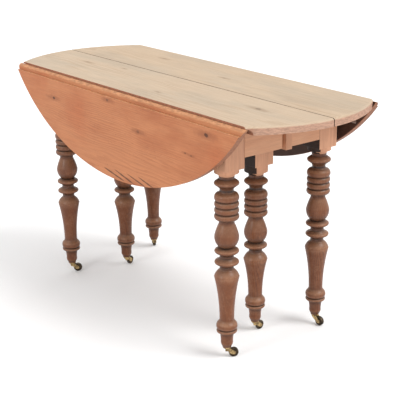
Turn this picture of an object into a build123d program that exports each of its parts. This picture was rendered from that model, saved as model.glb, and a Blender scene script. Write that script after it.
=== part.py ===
from build123d import *
import os
from math import cos, radians, sin

# Six-legged extending table with two drop leaves, in millimetres.
# +X runs along the table, -Y is its front and +Z is up. The origin is on the floor, under the
# middle of the table. The leaves hang and the two halves of the top are closed.
# side is -1 for the front half and +1 for the back half; end is -1 for left and +1 for right.

# Overall sizes
table_height = 740.0
oval_length = 1328.0
oval_width = 992.0
hinge_spread = 482.0
top_thickness = 23.0
seam_gap = 3.0
top_end_round = 7.0
leaf_outer_round = 4.0

# Rule joint between each half of the top and its leaf
cove_radius = 17.0
cove_clearance = 0.5

# Legs
leg_square = 72.0
leg_corner_chamfer = 1.5
corner_leg_x = 430.0
corner_leg_y = 180.0
corner_block_height = 135.0
corner_shoulder = 11.0
middle_block_height = 97.0
middle_block_drop = 77.5
middle_shoulder = 22.0
shoulder_radius = 35.5

# Rails and frame
rail_thickness = 25.0
rail_depth = 103.0
front_rail_end_y = -5.0
back_rail_end_y = 34.0
stile_inner_y = 11.0
stile_extra_depth = 8.0
stile_tongue_thickness = 11.0
stile_gap = 1.0
tenon_thickness = 9.0
tenon_length = 30.0
tenon_shoulder = 12.0
joint_gap = 0.15
beam_width = 30.0
beam_depth = 50.0
beam_top_drop = 92.0

# Runners that the two halves slide on
runner_width = 36.0
runner_length = 378.0
runner_top_gap = 0.5
slide_runner_width = 23.5
slide_runner_depth = 67.0
slide_gap = 0.5
runner_leg_gap = 2.0
passing_gap = 2.0
tongue_width = 8.0
tongue_depth = 11.0
tongue_drop = 35.0
spigot_radius = 12.0
spigot_length = 24.0

# Pull-out bars that hold up the raised leaves
loper_x = 150.0
loper_width = 24.0
loper_depth = 22.0
loper_inner_y = 20.0
loper_proud = 1.0
loper_gap = 0.5
finger_hole_radius = 6.0
finger_hole_inset = 100.0
guide_y = (72.0, 165.0)
guide_length = 25.0
guide_wall = 17.5
guide_floor = 7.0

# Hinges
hinge_x = (-500.0, 0.0, 500.0)
hinge_width = 36.0
hinge_thickness = 2.0
hinge_plate_inner_y = 150.0
hinge_flap_length = 57.0
knuckle_radius = 3.5
knuckle_clearance = 0.7
middle_knuckle = 16.0
knuckle_gap = 0.3
pin_radius = 1.7
pin_clearance = 0.05

# Screws
screw_head_radius = 3.4
screw_head_height = 1.7
screw_shank_radius = 1.7
screw_length = 14.0
screw_clearance = 0.1
screw_spread = 20.0
plate_screw_y = (165.0, 180.0)
flap_screw_drop = (25.0, 48.0)

# Dowels across the seam, and glue blocks
dowel_x = (-450.0, -150.0, 150.0, 450.0)
dowel_radius = 4.0
dowel_length = 32.0
dowel_out = 12.0
dowel_clearance = 0.3
glue_block_x = (-205.0, -75.0, 75.0, 205.0)
glue_block_length = 40.0
glue_block_leg = 24.0

# Casters
wheel_radius = 14.5
wheel_width = 11.0
wheel_round = 2.0
wheel_top_gap = 0.6
wheel_boss_gap = 0.5
axle_radius = 2.0
axle_clearance = 0.06
cheek_gap = 0.6
cheek_thickness = 2.0
crown_radius = 11.0
crown_thickness = 2.2
boss_radius = 5.0
boss_depth = 13.0
socket_plate_radius = 12.5
socket_plate_thickness = 2.0
swivel_gap = 0.2
stem_radius = 3.5
stem_length = 17.0
stem_clearance = 0.05
sleeve_radius = 5.5
sleeve_length = 20.0
sleeve_gap = 0.1

# The way each caster trails, in degrees from +X, by side and end
caster_angles = {
    (-1, -1): 52.0,
    (-1, 1): 60.0,
    (0, -1): 110.0,
    (0, 1): 95.0,
    (1, -1): 142.0,
    (1, 1): 5.0,
}

# Turned profile below each leg's round shoulder: (radius, distance below the shoulder). One
# point is a straight run, and two are the middle and the end of an arc.
upper_turning = (
    ((27.0, 3.0), (22.5, 12.0)),
    ((22.0, 18.0),),
    ((33.0, 26.0),),
    ((36.0, 31.0), (33.0, 36.0)),
    ((22.0, 44.5),),
    ((20.0, 51.0), (22.5, 58.5)),
    ((30.0, 61.0),),
    ((35.5, 70.0), (34.0, 80.0)),
    ((31.0, 83.5),),
    ((35.5, 92.5), (31.0, 101.5)),
    ((35.5, 111.0), (31.0, 120.5)),
    ((36.0, 129.0), (31.0, 138.0)),
    ((22.5, 142.0),),
    ((22.5, 150.0),),
    ((29.5, 167.0), (35.4, 187.0)),
    ((33.2, 205.0), (24.0, 220.0)),
    ((22.5, 223.0),),
    ((33.0, 229.5),),
    ((35.5, 234.0), (33.0, 238.5)),
    ((21.5, 245.0),),
    ((20.2, 251.0), (21.5, 257.0)),
)
second_ring_turning = (
    ((33.0, 263.5),),
    ((35.5, 268.0), (33.0, 272.5)),
    ((21.5, 279.0),),
    ((20.2, 285.0), (21.5, 291.0)),
)
taper_cap_via = (30.0, 8.0)
taper_cap_end = (36.7, 21.0)
taper_waist = (25.6, 0.48)

# Turned profile of the foot, from the thin end of the taper down: (radius, height above the
# foot's underside)
foot_turning = (
    ((21.5, 92.0),),
    ((22.0, 86.0), (24.0, 81.0)),
    ((31.3, 68.0), (28.0, 59.0)),
    ((29.5, 52.0), (21.0, 43.0)),
    ((18.6, 34.0), (17.8, 22.0)),
    ((17.5, 12.0), (14.0, 4.0)),
    ((13.0, 0.0),),
)

# Sizes that follow
top_underside = table_height - top_thickness
hinge_y = hinge_spread / 2
oval_a = oval_length / 2
oval_b = oval_width / 2
leaf_depth = oval_b - hinge_y
bead_radius = cove_radius - cove_clearance
half_square = leg_square / 2
rail_bottom = top_underside - rail_depth
centre_to_corner = half_square + runner_leg_gap + slide_runner_width + slide_gap + runner_width / 2
middle_leg_x = corner_leg_x - centre_to_corner
rail_outer_y = corner_leg_y + half_square
rail_inner_y = rail_outer_y - rail_thickness
end_rail_outer_x = corner_leg_x + half_square
end_rail_inner_x = end_rail_outer_x - rail_thickness
long_rail_end_x = corner_leg_x - half_square
end_rail_outer_y = corner_leg_y - half_square
tenon_span_z = (rail_bottom + tenon_shoulder, top_underside - tenon_shoulder)
corner_block_bottom = top_underside - corner_block_height
middle_block_top = top_underside - middle_block_drop
middle_block_bottom = middle_block_top - middle_block_height
beam_top = top_underside - beam_top_drop
beam_span_z = (beam_top - beam_depth, beam_top)
runner_top = top_underside - runner_top_gap
tongue_span_z = (top_underside - tongue_drop - tongue_depth / 2, top_underside - tongue_drop + tongue_depth / 2)
loper_top = top_underside - loper_gap
loper_span_z = (loper_top - loper_depth, loper_top)
caster_trail = wheel_radius + boss_radius + wheel_boss_gap
fork_height = 2 * wheel_radius + wheel_top_gap + crown_thickness
foot_bottom = fork_height + swivel_gap + socket_plate_thickness
sides = {"front": -1, "back": 1}
ends = {"left": -1, "right": 1}

os.makedirs("parts", exist_ok=True)


def signed(sign, *limits):
    """The same limits on the other side of the centre where the sign is negative."""
    return tuple(sign * limit for limit in limits)


def widened(span, clearance):
    """A span with a clearance added at both of its ends."""
    return (min(span) - clearance, max(span) + clearance)


def block(x_span, y_span, z_span, mode=Mode.ADD):
    """Squared block that fills three spans, each given by two limits in either order."""
    spans = (x_span, y_span, z_span)
    with Locations(tuple(sum(span) / 2 for span in spans)):
        Box(*(abs(span[1] - span[0]) for span in spans), mode=mode)


def rod(origin, direction, radius, length, mode=Mode.ADD, align=Align.CENTER):
    """Round rod along a direction, centred on its origin or starting from it."""
    with Locations(Plane(origin=origin, z_dir=direction)):
        Cylinder(radius, length, align=(Align.CENTER, Align.CENTER, align), mode=mode)


def turned_chain(start, runs, height_of):
    """Chain of straight runs and arcs along a turned profile; returns its last point."""
    for run in runs:
        points = [(radius, height_of(distance)) for radius, distance in run]
        if len(points) == 1:
            Line(start, points[0])
        else:
            ThreePointArc(start, points[0], points[1])
        start = points[-1]
    return start


def rail_tenon_spans(side, end):
    """Tenon of the long rail in one corner leg."""
    middle_y = (rail_outer_y + rail_inner_y) / 2
    y_span = signed(side, middle_y - tenon_thickness / 2, middle_y + tenon_thickness / 2)
    return (signed(end, long_rail_end_x, long_rail_end_x + tenon_length), y_span, tenon_span_z)


def end_tenon_spans(side, end):
    """Tenon of an end rail in one corner leg."""
    middle_x = (end_rail_outer_x + end_rail_inner_x) / 2
    x_span = signed(end, middle_x - tenon_thickness / 2, middle_x + tenon_thickness / 2)
    return (x_span, signed(side, end_rail_outer_y, end_rail_outer_y + tenon_length), tenon_span_z)


def beam_tenon_spans(end):
    """Tenon of the centre beam in one middle leg."""
    inner_x = middle_leg_x - half_square
    z_span = (beam_span_z[0] + tenon_shoulder, beam_span_z[1] - tenon_shoulder)
    return (signed(end, inner_x, inner_x + tenon_length), (-tenon_thickness / 2, tenon_thickness / 2), z_span)


def turned_leg(label, side, end):
    """Leg with a square block, a turned stem with rings, and a bore for its caster."""
    is_corner = side != 0
    x = end * (corner_leg_x if is_corner else middle_leg_x)
    y = side * corner_leg_y
    block_bottom = corner_block_bottom if is_corner else middle_block_bottom
    block_top = top_underside if is_corner else middle_block_top
    shoulder_end = block_bottom - (corner_shoulder if is_corner else middle_shoulder)
    turning = upper_turning + (second_ring_turning if is_corner else ())
    with BuildPart() as leg:
        with BuildSketch(Plane((x, y, block_bottom))):
            Rectangle(leg_square, leg_square)
        extrude(amount=block_top - block_bottom)
        chamfer(leg.edges().filter_by(Axis.Z), leg_corner_chamfer)
        with BuildSketch(Plane(origin=(x, y, 0), x_dir=(1, 0, 0), z_dir=(0, -1, 0))):
            with BuildLine():
                top_point = (shoulder_radius, block_bottom)
                shoulder_foot = (shoulder_radius, shoulder_end)
                Line(top_point, shoulder_foot)
                neck = turned_chain(shoulder_foot, turning, lambda drop: shoulder_end - drop)
                taper_top = (taper_cap_end[0], neck[1] - taper_cap_end[1])
                ThreePointArc(neck, (taper_cap_via[0], neck[1] - taper_cap_via[1]), taper_top)
                taper_foot = (foot_turning[0][0][0], foot_bottom + foot_turning[0][0][1])
                waist_z = taper_top[1] + taper_waist[1] * (taper_foot[1] - taper_top[1])
                ThreePointArc(taper_top, (taper_waist[0], waist_z), taper_foot)
                foot = turned_chain(taper_foot, foot_turning[1:], lambda rise: foot_bottom + rise)
                Polyline(foot, (0, foot_bottom), (0, block_bottom), top_point)
            make_face()
        revolve(axis=Axis((x, y, 0), (0, 0, 1)))
        sleeve_depth = sleeve_length + sleeve_gap
        rod((x, y, foot_bottom), (0, 0, 1), sleeve_radius + sleeve_gap, sleeve_depth, Mode.SUBTRACT, Align.MIN)
        if is_corner:
            mortises = (rail_tenon_spans(side, end), end_tenon_spans(side, end))
        else:
            mortises = (beam_tenon_spans(end),)
            rod((x, y, middle_block_top), (0, 0, 1), spigot_radius, spigot_length, align=Align.MIN)
        for spans in mortises:
            block(*(widened(span, joint_gap) for span in spans), mode=Mode.SUBTRACT)
    leg.part.label = label
    export_step(leg.part, f"parts/{label}.step")


def countersunk(origin, direction, clearance=0.0, mode=Mode.ADD):
    """Countersunk screw driven along a direction, or its hole where a clearance is given."""
    upright = (Align.CENTER, Align.CENTER, Align.MIN)
    shank_radius = screw_shank_radius + clearance
    with Locations(Plane(origin=origin, z_dir=direction)):
        Cone(screw_head_radius + clearance, shank_radius, screw_head_height, align=upright, mode=mode)
        Cylinder(shank_radius, screw_length + clearance, align=upright, mode=mode)


def plate_screws(side, clearance=0.0, mode=Mode.ADD):
    """Screws that hold the hinge plates up against one half of the top."""
    for x in hinge_x:
        for y in plate_screw_y:
            for offset in (-screw_spread / 2, screw_spread / 2):
                origin = (x + offset, side * y, top_underside - hinge_thickness)
                countersunk(origin, (0, 0, 1), clearance, mode)


def flap_screws(side, clearance=0.0, mode=Mode.ADD):
    """Screws that hold the hinge flaps against one hanging leaf."""
    for x in hinge_x:
        for drop in flap_screw_drop:
            for offset in (-screw_spread / 2, screw_spread / 2):
                origin = (x + offset, side * (hinge_y - hinge_thickness), top_underside - drop)
                countersunk(origin, (0, side, 0), clearance, mode)


def top_half(name, side):
    """Half of the top: a strip of the oval, with a cove along its hinge edge."""
    with BuildPart() as top:
        with BuildSketch(Plane.XY.offset(top_underside)):
            Ellipse(oval_a, oval_b)
            with Locations((0, side * (seam_gap / 2 + hinge_y) / 2)):
                Rectangle(oval_length, hinge_y - seam_gap / 2, mode=Mode.INTERSECT)
        extrude(amount=top_thickness)
        upper_edges = top.edges().group_by(Axis.Z)[-1]
        fillet(upper_edges.filter_by(GeomType.ELLIPSE), top_end_round)
        rod((0, side * hinge_y, top_underside), (1, 0, 0), cove_radius, oval_length, Mode.SUBTRACT)
        dowel_hole = dowel_radius + (dowel_clearance if side > 0 else joint_gap)
        hole_depth = dowel_out + seam_gap if side > 0 else dowel_length - dowel_out
        for x in dowel_x:
            origin = (x, side * seam_gap / 2, top_underside + top_thickness / 2)
            rod(origin, (0, side, 0), dowel_hole, hole_depth, Mode.SUBTRACT, Align.MIN)
        plate_screws(side, screw_clearance, Mode.SUBTRACT)
    top.part.label = f"{name}_top"
    export_step(top.part, f"parts/{name}_top.step")


def drop_leaf(name, side):
    """Hanging leaf: a segment of the oval, with a bead that turns in the top's cove."""
    outer_y = hinge_y + top_thickness
    ledge_z = top_underside - cove_clearance
    with BuildPart() as leaf:
        with BuildSketch(Plane.YZ.offset(-oval_a)):
            with BuildLine():
                bead_top = (side * hinge_y, top_underside + bead_radius)
                bead_side = (side * (hinge_y + bead_radius), top_underside)
                RadiusArc(bead_top, bead_side, side * bead_radius)
                Polyline(
                    bead_side,
                    (bead_side[0], ledge_z),
                    (side * outer_y, ledge_z),
                    (side * outer_y, top_underside - leaf_depth),
                    (side * hinge_y, top_underside - leaf_depth),
                    bead_top,
                )
            make_face()
        extrude(amount=oval_length)
        with BuildSketch(Plane.XZ.offset(-side * hinge_y)):
            with Locations((0, top_underside + hinge_y)):
                Ellipse(oval_a, oval_b)
        extrude(amount=2 * top_thickness, both=True, mode=Mode.INTERSECT)
        rim = leaf.edges().filter_by(GeomType.ELLIPSE).sort_by(Axis.Y)
        fillet(rim[0] if side < 0 else rim[-1], leaf_outer_round)
        pocket_radius = knuckle_radius + knuckle_clearance
        for x in hinge_x:
            pocket_length = hinge_width + 2 * knuckle_clearance
            rod((x, side * hinge_y, top_underside), (1, 0, 0), pocket_radius, pocket_length, Mode.SUBTRACT)
        flap_screws(side, screw_clearance, Mode.SUBTRACT)
    leaf.part.label = f"{name}_leaf"
    export_step(leaf.part, f"parts/{name}_leaf.step")


def hinge_plates(name, side):
    """Hinge plates under one half of the top, each with the middle knuckle of its hinge."""
    plate_end = hinge_y - knuckle_radius - knuckle_gap
    with BuildPart() as plates:
        for x in hinge_x:
            z_span = (top_underside - hinge_thickness, top_underside)
            y_span = signed(side, hinge_plate_inner_y, plate_end)
            block((x - hinge_width / 2, x + hinge_width / 2), y_span, z_span)
            tongue = (x - middle_knuckle / 2, x + middle_knuckle / 2)
            block(tongue, signed(side, plate_end, hinge_y), z_span)
            rod((x, side * hinge_y, top_underside), (1, 0, 0), knuckle_radius, middle_knuckle)
            bore = pin_radius + pin_clearance
            rod((x, side * hinge_y, top_underside), (1, 0, 0), bore, hinge_width, Mode.SUBTRACT)
        plate_screws(side, screw_clearance, Mode.SUBTRACT)
    plates.part.label = f"{name}_hinge_plates"
    export_step(plates.part, f"parts/{name}_hinge_plates.step")


def hinge_flaps(name, side):
    """Hinge flaps on one leaf, each with the two outer knuckles of its hinge."""
    flap_top = top_underside - knuckle_radius - knuckle_gap
    knuckle_length = (hinge_width - middle_knuckle) / 2 - knuckle_gap
    with BuildPart() as flaps:
        for x in hinge_x:
            y_span = signed(side, hinge_y - hinge_thickness, hinge_y)
            block((x - hinge_width / 2, x + hinge_width / 2), y_span, (flap_top - hinge_flap_length, flap_top))
            for end in ends.values():
                outer = x + end * hinge_width / 2
                block((outer - end * knuckle_length, outer), y_span, (flap_top, top_underside))
                middle = outer - end * knuckle_length / 2
                rod((middle, side * hinge_y, top_underside), (1, 0, 0), knuckle_radius, knuckle_length)
            bore = pin_radius + pin_clearance
            rod((x, side * hinge_y, top_underside), (1, 0, 0), bore, hinge_width, Mode.SUBTRACT)
        flap_screws(side, screw_clearance, Mode.SUBTRACT)
    flaps.part.label = f"{name}_hinge_flaps"
    export_step(flaps.part, f"parts/{name}_hinge_flaps.step")


def hinge_pins(name, side):
    """Pins of one leaf's hinges."""
    with BuildPart() as pins:
        for x in hinge_x:
            rod((x, side * hinge_y, top_underside), (1, 0, 0), pin_radius, hinge_width)
    pins.part.label = f"{name}_hinge_pins"
    export_step(pins.part, f"parts/{name}_hinge_pins.step")


def screw_sets(name, side):
    """The two sets of countersunk screws in one leaf's hinges."""
    with BuildPart() as in_plates:
        plate_screws(side)
    in_plates.part.label = f"{name}_plate_screws"
    export_step(in_plates.part, f"parts/{name}_plate_screws.step")
    with BuildPart() as in_flaps:
        flap_screws(side)
    in_flaps.part.label = f"{name}_flap_screws"
    export_step(in_flaps.part, f"parts/{name}_flap_screws.step")


def long_rail(name, side):
    """Rail under one half's hinge edge, notched for the pull-out bars and the middle hinge."""
    y_span = signed(side, rail_inner_y, rail_outer_y)
    with BuildPart() as rail:
        block((-long_rail_end_x, long_rail_end_x), y_span, (rail_bottom, top_underside))
        for end in ends.values():
            block(*rail_tenon_spans(side, end))
            x_span = (end * loper_x - loper_width / 2, end * loper_x + loper_width / 2)
            notch = (loper_span_z[0] - loper_gap, top_underside)
            block(widened(x_span, loper_gap), y_span, notch, Mode.SUBTRACT)
        for x in hinge_x:
            if abs(x) < long_rail_end_x:
                plate = (x - hinge_width / 2, x + hinge_width / 2)
                notch = (top_underside - hinge_thickness - joint_gap, top_underside)
                block(widened(plate, joint_gap), y_span, notch, Mode.SUBTRACT)
    rail.part.label = f"{name}_rail"
    export_step(rail.part, f"parts/{name}_rail.step")


def end_rail(name, side, end_name, end):
    """Short rail under one half's end, from its corner leg to near the seam."""
    inner_y = front_rail_end_y if side < 0 else back_rail_end_y
    with BuildPart() as rail:
        x_span = signed(end, end_rail_inner_x, end_rail_outer_x)
        block(x_span, (inner_y, side * end_rail_outer_y), (rail_bottom, top_underside))
        block(*end_tenon_spans(side, end))
    rail.part.label = f"{name}_end_rail_{end_name}"
    export_step(rail.part, f"parts/{name}_end_rail_{end_name}.step")


def meeting_stile(end_name, end):
    """Upright at the end of the back half, with a thin tongue behind the front end rail."""
    with BuildPart() as stile:
        stile_bottom = rail_bottom - stile_extra_depth
        x_span = signed(end, end_rail_inner_x, end_rail_outer_x)
        block(x_span, (stile_inner_y, back_rail_end_y), (stile_bottom, top_underside))
        tongue_x = signed(end, end_rail_inner_x, end_rail_inner_x + stile_tongue_thickness)
        block(tongue_x, (front_rail_end_y + stile_gap, stile_inner_y), (rail_bottom, top_underside))
    stile.part.label = f"meeting_stile_{end_name}"
    export_step(stile.part, f"parts/meeting_stile_{end_name}.step")


def centre_runner(end_name, end):
    """Fixed runner on a middle leg, grooved on both sides for the sliding runners."""
    groove_depth = tongue_width + 2 * slide_gap
    with BuildPart() as runner:
        x_span = signed(end, middle_leg_x - runner_width / 2, middle_leg_x + runner_width / 2)
        length_span = (-runner_length / 2, runner_length / 2)
        block(x_span, length_span, (middle_block_top, runner_top))
        for face in (-1, 1):
            outer = middle_leg_x + face * runner_width / 2
            groove = signed(end, outer, outer - face * groove_depth)
            block(groove, length_span, widened(tongue_span_z, slide_gap), Mode.SUBTRACT)
        hole_depth = spigot_length + joint_gap
        origin = (end * middle_leg_x, 0, middle_block_top)
        rod(origin, (0, 0, 1), spigot_radius + joint_gap, hole_depth, Mode.SUBTRACT, Align.MIN)
    runner.part.label = f"centre_runner_{end_name}"
    export_step(runner.part, f"parts/centre_runner_{end_name}.step")


def sliding_runner(name, side, end_name, end):
    """Runner fixed under one half, with a tongue in the groove of the centre runner."""
    face = -side
    inner = middle_leg_x + face * (runner_width / 2 + slide_gap)
    with BuildPart() as runner:
        x_span = signed(end, inner, inner + face * slide_runner_width)
        runner_bottom = top_underside - slide_runner_depth
        own_end = side * rail_inner_y
        far_end = -side * runner_length / 2
        block(x_span, (own_end, side * seam_gap / 2), (runner_bottom, top_underside))
        block(x_span, (side * seam_gap / 2, far_end), (runner_bottom, top_underside - passing_gap))
        tongue = signed(end, inner - face * tongue_width, inner)
        block(tongue, (side * runner_length / 2, far_end), tongue_span_z)
    runner.part.label = f"{name}_runner_{end_name}"
    export_step(runner.part, f"parts/{name}_runner_{end_name}.step")


def centre_beam():
    """Beam that joins the two middle legs below the runners."""
    with BuildPart() as beam:
        inner_x = middle_leg_x - half_square
        block((-inner_x, inner_x), (-beam_width / 2, beam_width / 2), beam_span_z)
        for end in ends.values():
            block(*beam_tenon_spans(end))
    beam.part.label = "centre_beam"
    export_step(beam.part, "parts/centre_beam.step")


def loper(name, side, end_name, end):
    """Pull-out bar under one leaf, with a finger hole through its inner part."""
    with BuildPart() as bar:
        x_span = (end * loper_x - loper_width / 2, end * loper_x + loper_width / 2)
        y_span = signed(side, loper_inner_y, rail_outer_y + loper_proud)
        block(x_span, y_span, loper_span_z)
        origin = (end * loper_x, side * finger_hole_inset, sum(loper_span_z) / 2)
        rod(origin, (0, 0, 1), finger_hole_radius, 2 * loper_depth, Mode.SUBTRACT)
    bar.part.label = f"{name}_loper_{end_name}"
    export_step(bar.part, f"parts/{name}_loper_{end_name}.step")


def loper_guides(name, side):
    """Keeper blocks that carry one half's pull-out bars under the top."""
    with BuildPart() as guides:
        channel_z = (loper_span_z[0] - loper_gap, top_underside)
        for end in ends.values():
            bar = (end * loper_x - loper_width / 2, end * loper_x + loper_width / 2)
            for y in guide_y:
                y_span = signed(side, y - guide_length / 2, y + guide_length / 2)
                guide_z = (channel_z[0] - guide_floor, top_underside)
                block(widened(bar, guide_wall + loper_gap), y_span, guide_z)
                block(widened(bar, loper_gap), y_span, channel_z, Mode.SUBTRACT)
    guides.part.label = f"{name}_loper_guides"
    export_step(guides.part, f"parts/{name}_loper_guides.step")


def glue_blocks(name, side):
    """Three-cornered blocks glued between one half's top and its long rail."""
    with BuildPart() as blocks:
        for x in glue_block_x:
            with BuildSketch(Plane.YZ.offset(x - glue_block_length / 2)):
                with BuildLine():
                    Polyline(
                        (side * rail_inner_y, top_underside),
                        (side * rail_inner_y, top_underside - glue_block_leg),
                        (side * (rail_inner_y - glue_block_leg), top_underside),
                        close=True,
                    )
                make_face()
            extrude(amount=glue_block_length)
    blocks.part.label = f"{name}_glue_blocks"
    export_step(blocks.part, f"parts/{name}_glue_blocks.step")


def seam_dowels():
    """Dowels fixed in the front half that find the back half's holes as the table closes."""
    with BuildPart() as dowels:
        inner_end = -seam_gap / 2 - (dowel_length - dowel_out)
        for x in dowel_x:
            origin = (x, inner_end, top_underside + top_thickness / 2)
            rod(origin, (0, 1, 0), dowel_radius, dowel_length, align=Align.MIN)
    dowels.part.label = "seam_dowels"
    export_step(dowels.part, "parts/seam_dowels.step")


def leg_axis(side, end):
    """Where one leg's axis stands on the floor."""
    return (end * (corner_leg_x if side else middle_leg_x), side * corner_leg_y)


def caster_sockets(name, side):
    """Plate and sleeve under each leg of one row, which hold the casters' stems."""
    with BuildPart() as sockets:
        for end in ends.values():
            x, y = leg_axis(side, end)
            plate_bottom = foot_bottom - socket_plate_thickness
            rod((x, y, plate_bottom), (0, 0, 1), socket_plate_radius, socket_plate_thickness, align=Align.MIN)
            rod((x, y, foot_bottom), (0, 0, 1), sleeve_radius, sleeve_length, align=Align.MIN)
            bore = stem_radius + stem_clearance
            rod((x, y, plate_bottom), (0, 0, 1), bore, stem_length + 2 * swivel_gap, Mode.SUBTRACT, Align.MIN)
    sockets.part.label = f"{name}_caster_sockets"
    export_step(sockets.part, f"parts/{name}_caster_sockets.step")


def caster(name, side, end):
    """Swivelling fork with its stem and axle, and the wheel that runs between its cheeks."""
    x, y = leg_axis(side, end)
    angle = radians(caster_angles[(side, end)])
    trail = (cos(angle), sin(angle), 0)
    lateral = (sin(angle), -cos(angle), 0)
    axle_centre = (x + caster_trail * trail[0], y + caster_trail * trail[1], wheel_radius)
    fork_top = foot_bottom - socket_plate_thickness - swivel_gap
    crown_bottom = fork_top - crown_thickness
    cheek_inner = wheel_width / 2 + cheek_gap
    cheek_outer = cheek_inner + cheek_thickness
    upright = Plane(origin=(x, y, 0), x_dir=trail, z_dir=lateral)
    with BuildPart() as fork:
        for offset in (cheek_inner, -cheek_outer):
            with BuildSketch(upright.offset(offset)):
                with BuildLine():
                    FilletPolyline(
                        (-boss_radius, fork_top - crown_thickness / 2),
                        (boss_radius + crown_thickness, fork_top - crown_thickness / 2),
                        (caster_trail + boss_radius, wheel_radius + crown_thickness),
                        (caster_trail + boss_radius, wheel_radius - boss_radius),
                        (caster_trail - boss_radius, wheel_radius - boss_radius),
                        (-boss_radius, fork_top - boss_depth / 2),
                        radius=(0, 4, 4, 4, 3, 0),
                        close=True,
                    )
                make_face()
            extrude(amount=cheek_thickness)
        rod((x, y, crown_bottom), (0, 0, 1), crown_radius, crown_thickness, align=Align.MIN)
        rod((x, y, fork_top), (0, 0, -1), boss_radius, boss_depth, align=Align.MIN)
        rod((x, y, fork_top), (0, 0, 1), stem_radius, stem_length, align=Align.MIN)
        rod(axle_centre, lateral, axle_radius, 2 * cheek_outer)
    fork.part.label = f"caster_fork_{name}"
    export_step(fork.part, f"parts/caster_fork_{name}.step")
    with BuildPart() as wheel:
        rod(axle_centre, lateral, wheel_radius, wheel_width)
        fillet(wheel.edges(), wheel_round)
        rod(axle_centre, lateral, axle_radius + axle_clearance, wheel_width, Mode.SUBTRACT)
    wheel.part.label = f"caster_wheel_{name}"
    export_step(wheel.part, f"parts/caster_wheel_{name}.step")


def half_table(name, side):
    """Everything that slides out with one half of the top, and its hanging leaf."""
    top_half(name, side)
    drop_leaf(name, side)
    hinge_plates(name, side)
    hinge_flaps(name, side)
    hinge_pins(name, side)
    screw_sets(name, side)
    long_rail(name, side)
    loper_guides(name, side)
    glue_blocks(name, side)
    for end_name, end in ends.items():
        turned_leg(f"leg_{name}_{end_name}", side, end)
        end_rail(name, side, end_name, end)
        sliding_runner(name, side, end_name, end)
        loper(name, side, end_name, end)


for half_name, half_side in sides.items():
    half_table(half_name, half_side)
seam_dowels()
centre_beam()
for table_end, end_sign in ends.items():
    turned_leg(f"leg_middle_{table_end}", 0, end_sign)
    centre_runner(table_end, end_sign)
    meeting_stile(table_end, end_sign)
for row_name, row_side in {**sides, "middle": 0}.items():
    caster_sockets(row_name, row_side)
    for table_end, end_sign in ends.items():
        caster(f"{row_name}_{table_end}", row_side, end_sign)
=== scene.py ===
import logging
import math
from dataclasses import dataclass, field
from enum import Enum
from typing import Any, Callable, Sequence

import bpy
from mathutils import Matrix, Vector


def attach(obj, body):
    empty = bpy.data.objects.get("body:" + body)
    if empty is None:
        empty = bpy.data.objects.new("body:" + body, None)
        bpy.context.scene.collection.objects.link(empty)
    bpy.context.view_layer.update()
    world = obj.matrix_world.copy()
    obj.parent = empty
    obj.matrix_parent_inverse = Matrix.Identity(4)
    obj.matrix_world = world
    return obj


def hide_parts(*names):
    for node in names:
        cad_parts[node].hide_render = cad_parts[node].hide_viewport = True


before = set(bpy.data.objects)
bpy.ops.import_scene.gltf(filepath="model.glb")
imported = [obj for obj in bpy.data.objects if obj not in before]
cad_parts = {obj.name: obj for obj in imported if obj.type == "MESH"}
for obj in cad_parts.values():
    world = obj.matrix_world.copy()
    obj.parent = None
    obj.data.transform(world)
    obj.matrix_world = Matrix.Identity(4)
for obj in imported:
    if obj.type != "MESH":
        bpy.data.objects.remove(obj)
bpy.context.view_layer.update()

LOG = logging.getLogger("extending_table")
MM = 0.001
RGB = tuple[float, float, float]
Point = tuple[float, float]
Run = tuple[Point, ...]
Tree = bpy.types.NodeTree
Socket = bpy.types.NodeSocket
Sockets = Sequence[tuple[str, str, Any]]
FLOAT, VECTOR = "NodeSocketFloat", "NodeSocketVector"
SMOOTH_ANGLE = math.radians(40)

# Where the legs stand, in millimetres.
LEG_PLACES: dict[str, Point] = {
    "front_left": (-430.0, -180.0), "front_right": (430.0, -180.0),
    "middle_left": (-350.0, 0.0), "middle_right": (350.0, 0.0),
    "back_left": (-430.0, 180.0), "back_right": (430.0, 180.0),
}


class Grain(Enum):
    """The way the fibres of a piece run."""

    ALONG = "x"
    ACROSS = "y"
    UPRIGHT = "z"


GRAIN_TURN: dict[Grain, RGB] = {
    Grain.ALONG: (0.0, 0.0, 0.0),
    Grain.ACROSS: (0.0, 0.0, math.pi / 2),
    Grain.UPRIGHT: (0.0, math.pi / 2, 0.0),
}


# --------------------------------------------------------------------------- shader helpers


def put(tree: Tree, kind: str, inputs: dict | None = None, **settings: Any) -> bpy.types.Node:
    """Adds one node to a tree.

    Args:
        tree: the tree that gets the node.
        kind: the node's type.
        inputs: input name or number, to a value or to the socket that feeds it.
        settings: properties of the node itself.

    Returns:
        The new node.
    """
    node = tree.nodes.new(kind)
    for name, value in settings.items():
        setattr(node, name, value)
    for key, value in (inputs or {}).items():
        if isinstance(value, Socket):
            tree.links.new(value, node.inputs[key])
        else:
            node.inputs[key].default_value = value
    return node


def calc(tree: Tree, operation: str, *values: Any) -> Socket:
    """Adds a Math node.

    Args:
        tree: the tree that gets the node.
        operation: the operation's name.
        values: numbers or sockets, in the order of the node's inputs.

    Returns:
        The node's result.
    """
    return put(tree, "ShaderNodeMath", dict(enumerate(values)), operation=operation).outputs[0]


def vector_calc(tree: Tree, operation: str, *values: Any) -> Any:
    """Adds a Vector Math node.

    Args:
        tree: the tree that gets the node.
        operation: the operation's name.
        values: vectors or sockets, in the order of the node's inputs.

    Returns:
        The node's outputs: its vector, then its value.
    """
    return put(tree, "ShaderNodeVectorMath", dict(enumerate(values)), operation=operation).outputs


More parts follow.
